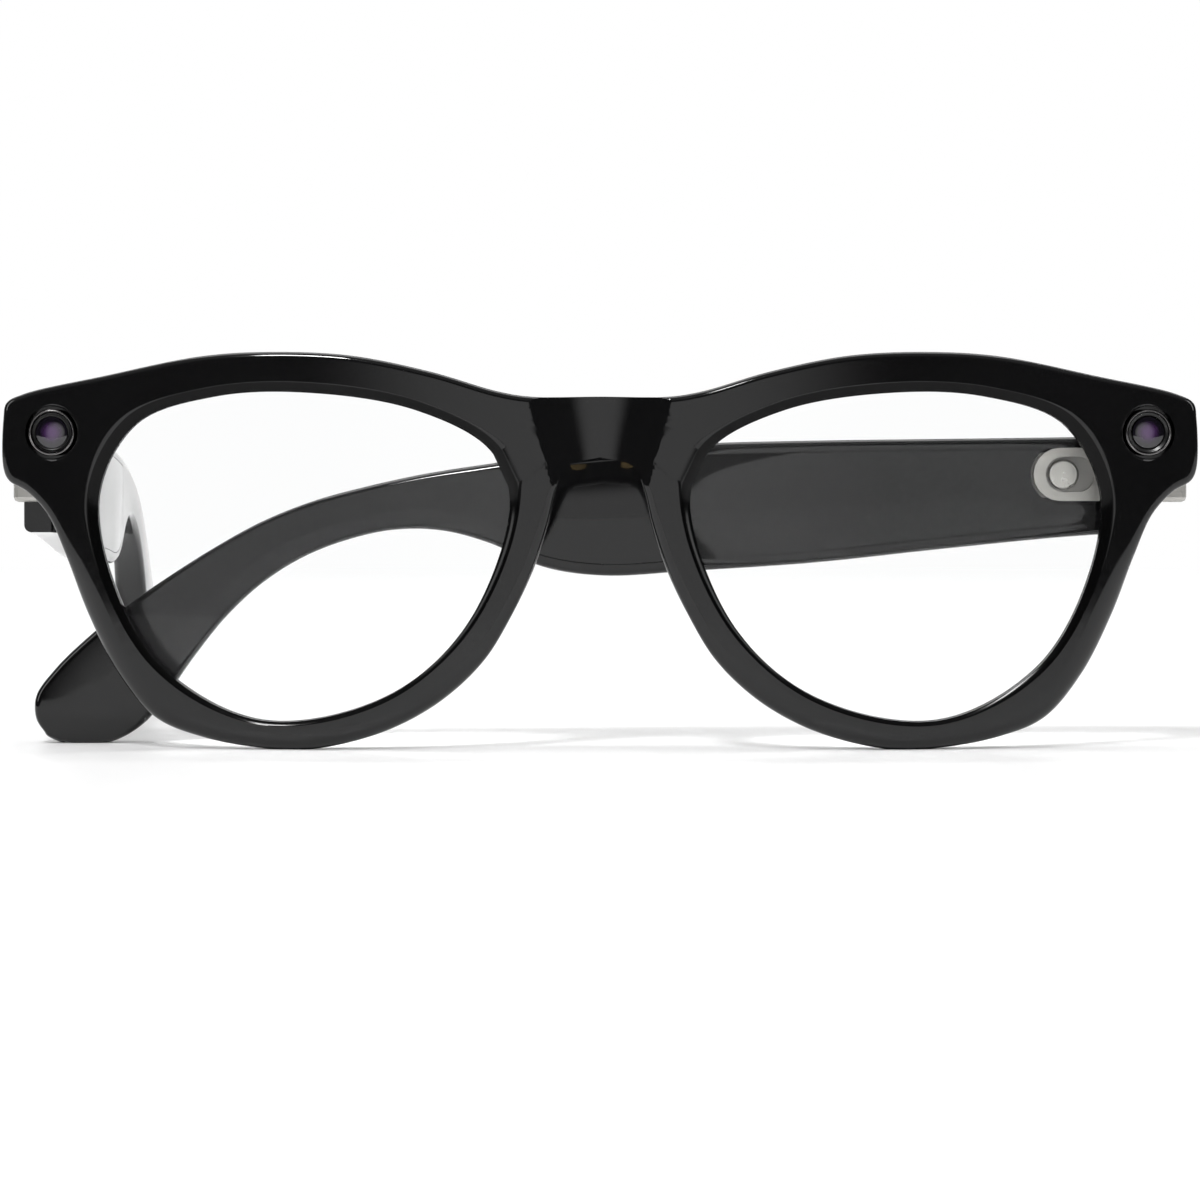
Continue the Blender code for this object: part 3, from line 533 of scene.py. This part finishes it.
def front_profile(outer, angle, inward, table, edge_w, edge_d, back_w, bevel_w, bevel_d):
    """Closed section through the rim: groove, bevel, face, outer edge, back and back bevel."""
    edge = opening_point(angle, table)
    out = np.array([math.cos(angle), math.sin(angle)])
    points = []

    def add(flat, depth, back=0.0):
        points.append((flat[0], face_y(flat[0]) + depth + back, flat[1]))

    add(edge + GROOVE_DEPTH * out, GROOVE_FRONT)
    add(edge, GROOVE_FRONT)
    add(edge, bevel_d + 0.1)
    for k in range(7):
        t = k / 6
        turn = 0.5 * math.pi * t
        corner = 0.75 * t + 0.25 * (1 - math.cos(turn))
        add(edge + bevel_w * corner * out, bevel_d * (1 - 0.75 * t - 0.25 * math.sin(turn)))
    face_in, face_out = edge + bevel_w * out, outer + edge_w * inward
    for t in (0.04, 0.2, 0.4, 0.6, 0.78, 0.9):
        add(across(face_in, face_out, inward, t), 0.0)
    for k in range(11):
        turn = 0.5 * math.pi * k / 10
        add(outer + edge_w * (1 - math.sin(turn)) * inward, edge_d * (1 - math.cos(turn)))
    back_edge = front_depth(outer[0], outer[1])
    for t in (0.25, 0.5, 0.75):
        add(outer, edge_d + t * (back_edge - BACK_ROUND - edge_d))
    for k in range(8):
        turn = 0.5 * math.pi * k / 7
        flat = outer + back_w * (1 - math.cos(turn)) * inward
        add(flat, -BACK_ROUND * (1 - math.sin(turn)), front_depth(flat[0], flat[1]))
    back_in, back_out = edge + BACK_BEVEL_WIDTH * out, outer + back_w * inward
    for t in (0.9, 0.75, 0.6, 0.45, 0.3, 0.15):
        flat = across(back_in, back_out, inward, t)
        add(flat, 0.0, front_depth(flat[0], flat[1]))
    for k in range(7):
        turn = 0.5 * math.pi * k / 6
        flat = edge + BACK_BEVEL_WIDTH * (1 - math.sin(turn)) * out
        add(flat, -BACK_BEVEL_DEPTH * (1 - math.cos(turn)), front_depth(flat[0], flat[1]))
    add(edge, GROOVE_BACK)
    add(edge + GROOVE_DEPTH * out, GROOVE_BACK)
    return points


def front_builder():
    """Wearer's left half of the front: sections from the bridge's top round the rim, open at x = 0 for the mirror."""
    outer, angles, normal = station_points(420)
    table = opening_table()
    edge_w, edge_d = edge_sizes(outer)
    edge_w, back_w = within_curve(outer, edge_w), within_curve(outer, np.full(len(outer), BACK_ROUND))
    bevel_w, bevel_d = inner_sizes(angles)
    builder = bmesh.new()
    rings = []
    for point, angle, inward, *sizes in zip(outer, angles, normal, edge_w, edge_d, back_w, bevel_w, bevel_d):
        rings.append([builder.verts.new(p) for p in front_profile(point, angle, inward, table, *sizes)])
    around = len(rings[0])
    first_out, last_out = 16, 38  # the stretch of the profile from the front face's edge round to the back's
    last_inner, first_inner = 9, 48  # the profile's points on the opening's walls lie before and after these
    for ring in (rings[0], rings[-1]):
        for vert in ring[first_out:last_out]:
            vert.co.x = 0.0
    for k, ring in enumerate(rings):
        following = rings[(k + 1) % len(rings)]
        for j in range(around):
            if k == len(rings) - 1 and first_out <= j < last_out - 1:
                continue
            after = (j + 1) % around
            face = builder.faces.new((ring[j], ring[after], following[after], following[j]))
            # the walls of the lens opening get the darker, duller acetate: painted shade
            face.material_index = 1 if j < last_inner or j > first_inner else 0
    return builder


def scoop_builder():
    """Tapered round trough down the front of the bridge, with crisp side edges."""
    builder = bmesh.new()
    rings = []
    for z in np.linspace(6.5, 21.0, 16):
        half = SCOOP_HALF_WIDTH + SCOOP_TAPER * (z - SCOOP_FOOT_Z)
        radius = (half * half + SCOOP_DEPTH * SCOOP_DEPTH) / (2 * SCOOP_DEPTH)
        reach = math.asin(half / radius)
        ring = []
        for k in range(33):
            turn = reach * (2 * k / 32 - 1)
            x = radius * math.sin(turn)
            y = SCOOP_DEPTH - radius * (1 - math.cos(turn)) + face_y(half)
            ring.append(builder.verts.new((x, y, z)))
        ring.append(builder.verts.new((half, -4.0, z)))
        ring.append(builder.verts.new((-half, -4.0, z)))
        rings.append(ring)
    bridge_rings(builder, rings)
    return builder


def build_front(mats):
    made = make_piece("front_acetate_body", front_builder(), mats["front"], "front")
    made.data.materials.append(mats["opening_wall_painted_shade"])
    bake(made, "MIRROR", use_axis=(True, False, False), merge_threshold=0.00004, use_clip=True)
    cut(made, scoop_builder())
    cut(made, block((-70, -5, STAND_Z - 3), (70, 20, STAND_Z)))
    face = face_y(CAMERA_X)
    for name, side in SIDES:
        centre = (side * CAMERA_X, CAMERA_Z)
        rim = [
            (0, -3), (POCKET_RIM_RADIUS, -3), (POCKET_RIM_RADIUS, face), (POCKET_RADIUS, face + 0.3), (0, face + 0.3),
        ]
        cut(made, cylinder_y(POCKET_RADIUS, centre, -3, face + 4.9))
        cut(made, turned(rim, centre))
        cut(made, cylinder_y(0.8, centre, face + 4, face + 9, 24))  # the way through for the flex cable
        cut(made, cylinder_y(1.3, (side * CONTACT_X, CONTACT_Z), 2.6, 7, 48))
    finish_edges(made, 30)
    bake(made, "WEIGHTED_NORMAL", keep_sharp=True)
    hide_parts("front_frame")


def build_lens(name, side, mats):
    """Clear lens with two bent faces, as rings about its centre, and a plain edge in the groove."""
    table = opening_table()
    builder = bmesh.new()
    sheets = []
    count, rings_in = 180, 16
    turns = np.linspace(-math.pi, math.pi, count, endpoint=False)
    for depth in LENS_FACES:
        centre = builder.verts.new((side * LENS_X, face_y(LENS_X) + depth, 0))
        rings = []
        for step in range(1, rings_in + 1):
            ring = []
            for turn in turns:
                flat = opening_point(turn, table, LENS_REACH)
                x = LENS_X + (flat[0] - LENS_X) * step / rings_in
                ring.append(builder.verts.new((side * x, face_y(x) + depth, flat[1] * step / rings_in)))
            rings.append(ring)
        for j in range(count):
            builder.faces.new((centre, rings[0][j], rings[0][(j + 1) % count]))
        join_rings(builder, rings)
        sheets.append(rings[-1])
    join_rings(builder, sheets)
    made = make_piece(f"lens_clear_{name}", builder, mats["lens"], "front")
    made.visible_shadow = False
    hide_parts(f"lens_{name}")


def build_eye(name, side, mats):
    """Camera or light: a turned ring in the dark pocket and a domed window inside it."""
    centre = (side * CAMERA_X, CAMERA_Z)
    stem = "camera" if name == "left" else "light"
    y = face_y(CAMERA_X) + 0.5
    profile = [
        (2.5, y + 1.3), (2.5, y + 0.2), (2.56, y + 0.07), (2.66, y), (2.78, y + 0.04), (2.86, y + 0.16),
        (2.86, y + 1.3),
    ]
    ring = make_piece(f"{stem}_ring_turned", turned(profile, centre), mats["bezel"], "front")
    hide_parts(f"{stem}_bezel_{name}")
    if name == "left":
        steps = [
            (1.95, y + 1.3), (1.95, y + 0.75), (2.1, y + 0.62), (2.12, y + 0.5), (2.42, y + 0.34), (2.46, y + 1.3),
        ]
    else:
        steps = [
            (1.95, y + 1.3), (1.95, y + 0.7), (2.02, y + 0.42), (2.14, y + 0.38), (2.2, y + 0.6), (2.36, y + 0.56),
            (2.44, y + 0.3), (2.46, y + 1.3),
        ]
    cone = make_piece(f"{stem}_inner_cone", turned(steps, centre), mats["cone"], "front")
    window_radius, top = 1.9, y + 0.35
    dome = [(0, top)]
    spread = math.radians(60)
    for k in range(1, 9):
        turn = spread * k / 8
        dome.append((window_radius * math.sin(turn) / math.sin(spread), top + 0.3 * (1 - math.cos(turn))))
    dome += [(window_radius, y + 1.2), (0, y + 1.2)]
    # the window's colour holds a painted violet reflection in its middle
    glass = camera_glass(f"{stem}_glass_painted_reflection", (TO_CAD + Vector((centre[0], top, centre[1]))) * MM)
    window = make_piece(f"{stem}_window_domed", turned(dome, centre), glass, "front")
    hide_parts(f"{stem}_window_{name}")


# Temples

def temple_curves(per_span):
    """Top and bottom edges of a temple, and its thickness along them."""
    top = spline([pair[0] for pair in TEMPLE_STATIONS], per_span)
    bottom = spline([pair[1] for pair in TEMPLE_STATIONS], per_span)
    thick = np.interp(top[:, 0], *zip(*TEMPLE_THICKNESS))
    return top, bottom, smooth(thick, 30)


def temple_section(upper, lower, inner, outer, edge):
    """Closed outline with round edges, as (outward, point) pairs from the inner face's top round to its bottom."""
    corners = (
        (inner, upper, 1, 1), (outer, upper, -1, 1), (outer, lower, -1, -1), (inner, lower, 1, -1),
    )
    if not edge:
        return [(outward, point) for outward, point, _, _ in corners]
    down = (lower - upper) / np.linalg.norm(lower - upper)
    rounds = 6
    outline = []
    for index, (outward, point, step, sense) in enumerate(corners):
        turns = [0.5 * math.pi * k / rounds for k in range(rounds + 1)]
        if index in (1, 3):
            turns = turns[::-1]
        for turn in turns:
            shift = edge * (1 - math.sin(turn))
            drop = edge * (1 - math.cos(turn))
            outline.append((outward + step * drop, point + sense * shift * down))
    return outline


def temple_loft(side, edge=0.0, span=None, inset=0.0, inner=INNER_FACE, outer=None, wall=0.0):
    """Solid along the temple, over its whole length or a span of it, between an inner and an outer face.

    Without an outer face it reaches the temple's own, less a wall. The inset pulls it in from the top and the bottom.
    A whole temple with rounded edges also gets a rounded end.
    """
    top, bottom, thick = temple_curves(10)
    if span:
        low, high = span
        at = np.concatenate([[low], [s for s in top[:, 0] if low + 0.3 < s < high - 0.3], [high]])
        thick = np.interp(at, top[:, 0], thick)
        top = np.stack([at, np.interp(at, top[:, 0], top[:, 1])], axis=1)
        bottom = np.stack([at, np.interp(at, bottom[:, 0], bottom[:, 1])], axis=1)
    builder = bmesh.new()
    rings = []
    for upper, lower, t in zip(top, bottom, thick):
        down = (lower - upper) / np.linalg.norm(lower - upper)
        reach = INNER_FACE + t - wall if outer is None else outer
        outline = temple_section(upper + inset * down, lower - inset * down, inner, reach, edge)
        rings.append([builder.verts.new((side * a, p[0], p[1])) for a, p in outline])
    if edge and not span:
        last = [v.co.copy() for v in rings[-1]]
        middle = sum(last, Vector()) / len(last)
        for shrink, ahead in ((0.92, 0.12), (0.75, 0.25), (0.45, 0.34)):
            shift = Vector((0, 0.39, -0.92)) * ahead
            rings.append([builder.verts.new(middle + (co - middle) * shrink + shift) for co in last])
    bridge_rings(builder, rings)
    return builder


def plate_outline(start, end, low, high, steps=24):
    """Strip along the arm, square at its start and round at its end."""
    radius = (high - low) / 2
    out = [(start, high), (start, low)]
    for k in range(steps + 1):
        turn = math.radians(-90 + 180 * k / steps)
        out.append((end - radius + radius * math.cos(turn), (low + high) / 2 + radius * math.sin(turn)))
    return out


def stadium(middle, along, length, width, steps=24):
    """Slot with round ends, seen from above: its middle across and along the arm, and its size."""
    radius = width / 2
    out = []
    for side, start in ((1, -90), (-1, 90)):
        for k in range(steps + 1):
            turn = math.radians(start + 180 * k / steps)
            y = side * (length / 2 - radius) + radius * math.cos(turn)
            out.append((middle + radius * math.sin(turn), along + y))
    return out


def sided(side, inner, outer):
    """The two outward distances as low and high X on that side."""
    return sorted((side * inner, side * outer))


def build_temple(name, side, mats):
    """Outer shell with its hollow, hinge pocket, speaker port and button slot, and the inner cover."""
    body = f"temple_{name}"
    at = arm_frame(name, side)
    shell = make_piece(f"temple_body_{name}", temple_loft(side, TEMPLE_ROUND), mats["temple"], body, at)
    hollow = temple_loft(side, span=(HOLLOW_START, HOLLOW_END), inset=WALL, inner=-3.0, wall=WALL)
    cut(shell, hollow, at)
    cut(shell, cylinder_z(1.85, -2, 20), at)  # room for the hinge's knuckles
    pocket = plate_outline(-1.0, 12.9, 6.2, 13.4)
    cut(shell, slab(pocket, *sided(side, -3.0, 0.8)), at)
    cut(shell, slab(stadium(side * SLOT_MIDDLE, 62.0, 9.0, 1.8), -4.0, 0.4, "Z"), at)
    if name == "right":
        cut(shell, slab(stadium(side * SLOT_MIDDLE, 13.0, 8.6, 2.8), 11.35, 16.35, "Z"), at)
    foot = block((-10.0, 90.0, STAND_Z - 3), (10.0, 140.0, STAND_Z))
    cut(shell, foot, at)
    finish_edges(shell, 28)
    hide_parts(f"temple_shell_{name}")
    span = (HOLLOW_START + COVER_END_GAP, HOLLOW_END - COVER_END_GAP)
    plate = temple_loft(side, span=span, inset=WALL + COVER_GAP, outer=INNER_FACE + COVER_THICKNESS)
    cover = make_piece(f"temple_inner_cover_{name}", plate, mats["temple"], body, at)
    cut(cover, slab(pocket, *sided(side, -3.0, 3.0)), at)
    bake(cover, "BEVEL", width=0.00006, segments=2, limit_method="ANGLE")
    finish_edges(cover, 28)
    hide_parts(f"temple_cover_{name}")


# Stage

def seen_directly(tree):
    """Socket that is 1 for the camera's own rays and those that pass through the lenses."""
    path = tree.nodes.new("ShaderNodeLightPath")
    seen = tree.nodes.new("ShaderNodeMath")
    seen.operation = "MAXIMUM"
    tree.links.new(path.outputs["Is Camera Ray"], seen.inputs[0])
    tree.links.new(path.outputs["Is Transmission Ray"], seen.inputs[1])
    return seen.outputs["Value"]


def fade_floor(paint):
    """Lets the floor run out into the same white as the room, well away from the glasses."""
    nodes, links = paint.node_tree.nodes, paint.node_tree.links
    coords = nodes.new("ShaderNodeTexCoord")
    reach = nodes.new("ShaderNodeVectorMath")
    reach.operation = "LENGTH"
    links.new(coords.outputs["Object"], reach.inputs[0])
    far = nodes.new("ShaderNodeMapRange")
    far.interpolation_type = "SMOOTHSTEP"
    far.inputs["From Min"].default_value, far.inputs["From Max"].default_value = 0.25, 0.8
    links.new(reach.outputs["Value"], far.inputs["Value"])
    amount = nodes.new("ShaderNodeMath")
    amount.operation = "MULTIPLY"
    links.new(far.outputs["Result"], amount.inputs[0])
    links.new(seen_directly(paint.node_tree), amount.inputs[1])
    white = nodes.new("ShaderNodeEmission")
    white.inputs["Strength"].default_value = ROOM_SEEN
    blend = nodes.new("ShaderNodeMixShader")
    links.new(amount.outputs["Value"], blend.inputs[0])
    links.new(nodes["Principled BSDF"].outputs["BSDF"], blend.inputs[1])
    links.new(white.outputs["Emission"], blend.inputs[2])
    links.new(blend.outputs["Shader"], nodes["Material Output"].inputs["Surface"])


def build_stage():
    """Pale floor that turns up into a backdrop far behind."""
    near, bend_start, bend_radius, top, half_width = -0.52, 0.9, 0.6, 2.2, 2.5
    builder = bmesh.new()
    rows = [(near, 0.0), (bend_start, 0.0)]
    for k in range(1, 17):
        turn = 0.5 * math.pi * k / 16
        rows.append((bend_start + bend_radius * math.sin(turn), bend_radius * (1 - math.cos(turn))))
    rows.append((bend_start + bend_radius, top))
    rings = [[builder.verts.new((x, y, z)) for x in (-half_width, half_width)] for y, z in rows]
    for ring, following in zip(rings, rings[1:]):
        builder.faces.new((ring[0], ring[1], following[1], following[0]))
    mesh = bpy.data.meshes.new("studio_floor")
    builder.to_mesh(mesh)
    builder.free()
    floor = bpy.data.objects.new("studio_floor", mesh)
    floor.location = (0, 0, -0.00002)  # just clear of the feet
    bpy.context.scene.collection.objects.link(floor)
    mesh.shade_smooth()
    paint = new_material("floor_white", (0.93, 0.93, 0.93), 0.35, Specular_IOR_Level=0.03)
    fade_floor(paint)
    mesh.materials.append(paint)


def area_light(name, location, target, power, width, height):
    data = bpy.data.lights.new(name, "AREA")
    data.shape = "RECTANGLE"
    data.size, data.size_y = width, height
    data.energy = power
    lamp = bpy.data.objects.new(name, data)
    lamp.location = location
    aim = Vector(target) - Vector(location)
    lamp.rotation_mode = "QUATERNION"
    lamp.rotation_quaternion = aim.to_track_quat("-Z", "Y")
    bpy.context.scene.collection.objects.link(lamp)


def build_light():
    """White room seen directly, but dim in reflections apart from a soft ceiling and a panel behind the camera."""
    bpy.context.scene.view_settings.view_transform = "Standard"
    world = bpy.data.worlds.new("studio")
    bpy.context.scene.world = world
    world.use_nodes = True
    nodes, links = world.node_tree.nodes, world.node_tree.links
    back = nodes["Background"]
    back.inputs["Color"].default_value = (1, 1, 1, 1)
    coords = nodes.new("ShaderNodeTexCoord")
    ahead = nodes.new("ShaderNodeVectorMath")
    ahead.operation = "DOT_PRODUCT"
    ahead.inputs[1].default_value = (0.0, -1.0, 0.0)
    links.new(coords.outputs["Generated"], ahead.inputs[0])
    glow = nodes.new("ShaderNodeMapRange")
    glow.interpolation_type = "SMOOTHERSTEP"
    glow.inputs["From Min"].default_value, glow.inputs["From Max"].default_value = 0.97, 1.0
    glow.inputs["To Min"].default_value, glow.inputs["To Max"].default_value = 0.0, GLOW
    links.new(ahead.outputs["Value"], glow.inputs["Value"])
    parts = nodes.new("ShaderNodeSeparateXYZ")
    links.new(coords.outputs["Generated"], parts.inputs["Vector"])
    sky = nodes.new("ShaderNodeMapRange")
    sky.interpolation_type = "SMOOTHSTEP"
    sky.inputs["From Min"].default_value, sky.inputs["From Max"].default_value = 0.3, 0.85
    sky.inputs["To Min"].default_value, sky.inputs["To Max"].default_value = ROOM, SKY
    links.new(parts.outputs["Z"], sky.inputs["Value"])
    total = nodes.new("ShaderNodeMath")
    total.operation = "ADD"
    links.new(glow.outputs["Result"], total.inputs[0])
    links.new(sky.outputs["Result"], total.inputs[1])
    pick = nodes.new("ShaderNodeMix")
    pick.data_type = "FLOAT"
    links.new(seen_directly(world.node_tree), pick.inputs[0])
    links.new(total.outputs["Value"], pick.inputs[2])
    pick.inputs[3].default_value = ROOM_SEEN
    links.new(pick.outputs[0], back.inputs["Strength"])
    middle = (0, -0.05, 0.02)
    area_light("overhead", (0.0, 0.15, 0.9), middle, 2.0, 0.7, 0.5)
    area_light("backdrop_wash", (0.0, 0.5, 1.1), (0.0, 1.4, 0.3), 13.0, 1.6, 0.5)
    area_light("front_key", (-0.2, -0.7, 0.75), middle, 6.0, 0.16, 0.16)
    area_light("left_strip", (-0.9, -0.35, 0.45), middle, 2.0, 0.2, 0.7)
    area_light("right_strip", (0.9, -0.35, 0.45), middle, 2.0, 0.2, 0.7)


def build_camera():
    """Long lens square to the front, aimed a little below the lens centres."""
    data = bpy.data.cameras.new("camera")
    data.lens, data.sensor_width = 160.8, 36.0
    cam = bpy.data.objects.new("camera", data)
    distance, elevation, aim_z = 0.65, math.radians(1.8), -5.3
    target = Vector((0.0, FRONT_Y * MM, (aim_z - STAND_Z) * MM))
    back = Vector((0, -math.cos(elevation), math.sin(elevation)))
    cam.location = target + back * distance
    cam.rotation_mode = "QUATERNION"
    cam.rotation_quaternion = (-back).to_track_quat("-Z", "Y")
    data.clip_start, data.clip_end = 0.01, 20.0
    bpy.context.scene.collection.objects.link(cam)
    bpy.context.scene.camera = cam


# Carried-over CAD nodes

def dress(stems, material, sides=("_left", "_right"), bevel_width=0.0):
    """Gives CAD nodes a material, and a small bevel where one is asked for."""
    for name in (stem + end for stem in stems for end in sides):
        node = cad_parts[name]
        node.data.materials.clear()
        node.data.materials.append(material)
        if bevel_width:
            change = node.modifiers.new("edge", "BEVEL")
            change.width = bevel_width * MM
            change.segments = 2
            change.limit_method = "ANGLE"


def dress_cad_nodes():
    """Materials for the nodes that show or lie hidden as the CAD made them."""
    whole = ("",)
    even = (1, 1, 1)
    dress(["hinge_housing"], metal("satin_nickel", (0.5, 0.49, 0.465), 0.34))
    dress(["hinge_plate"], metal("plate_nickel", (0.52, 0.51, 0.48), 0.36), bevel_width=0.08)
    dress(["power_slider"], metal("slider_nickel", (0.56, 0.55, 0.52), 0.3, even, 500.0), whole)
    dress(["hinge_screw"], metal("screw_steel", (0.58, 0.58, 0.59), 0.22, even))
    dress(["charging_contact"], metal("gold_plate", (0.83, 0.6, 0.26), 0.2, even))
    dress(["capture_button"], acetate("button_acetate", (0.0035, 0.0035, 0.0038), 0.12), whole)
    dress(["camera_barrel_left", "light_pipe_right"], plastic("pocket_black", (0.01, 0.01, 0.01), 0.45), whole)
    dress(["speaker"], plastic("module_black", (0.03, 0.03, 0.032), 0.5))
    dress(["power_switch_module"], metal("switch_tray", (0.42, 0.41, 0.39), 0.4), whole)
    dress(["amplifier_chip_left", "memory_chip_right"], plastic("chip_epoxy", (0.02, 0.02, 0.021), 0.55), whole)
    boards = ["audio_board_left", "main_board_right", "camera_sensor_left", "capture_led_right"]
    dress(boards, circuit("board_mask", (0.012, 0.1, 0.045), (0.06, 0.16, 0.06)), whole)
    tin = metal("shield_tin", (0.6, 0.6, 0.62), 0.3)
    dress(["shield_can_left", "shield_can_right", "capture_switch"], tin, whole)
    dress(["battery"], metal("battery_foil", (0.7, 0.71, 0.73), 0.38, even, 300.0, 0.3))
    dress(["touch_sensor"], metal("copper_film", (0.72, 0.38, 0.2), 0.3), whole)
    dress(["speaker_grille"], mesh_metal("grille_mesh"))


def main():
    mats = {
        "front": acetate("front_acetate", (0.0032, 0.0032, 0.0034), 0.06),
        # darker, less glossy copy of the front acetate: painted shade on the walls of the lens opening
        "opening_wall_painted_shade": acetate("front_opening_wall_painted_shade", (0.0015, 0.0015, 0.0016), 0.12, 0.15),
        "temple": acetate("temple_acetate", (0.0028, 0.0028, 0.003), 0.06),
        "lens": lens_glass(),
        "bezel": metal("bezel_metal", (0.16, 0.155, 0.155), 0.2, (1, 1, 1), 900.0, 0.03),
        "cone": plastic("cone_black", (0.004, 0.004, 0.004), 0.3),
    }
    build_camera()
    build_stage()
    build_light()
    build_front(mats)
    for name, side in SIDES:
        build_lens(name, side, mats)
        build_eye(name, side, mats)
        build_temple(name, side, mats)
    dress_cad_nodes()


main()
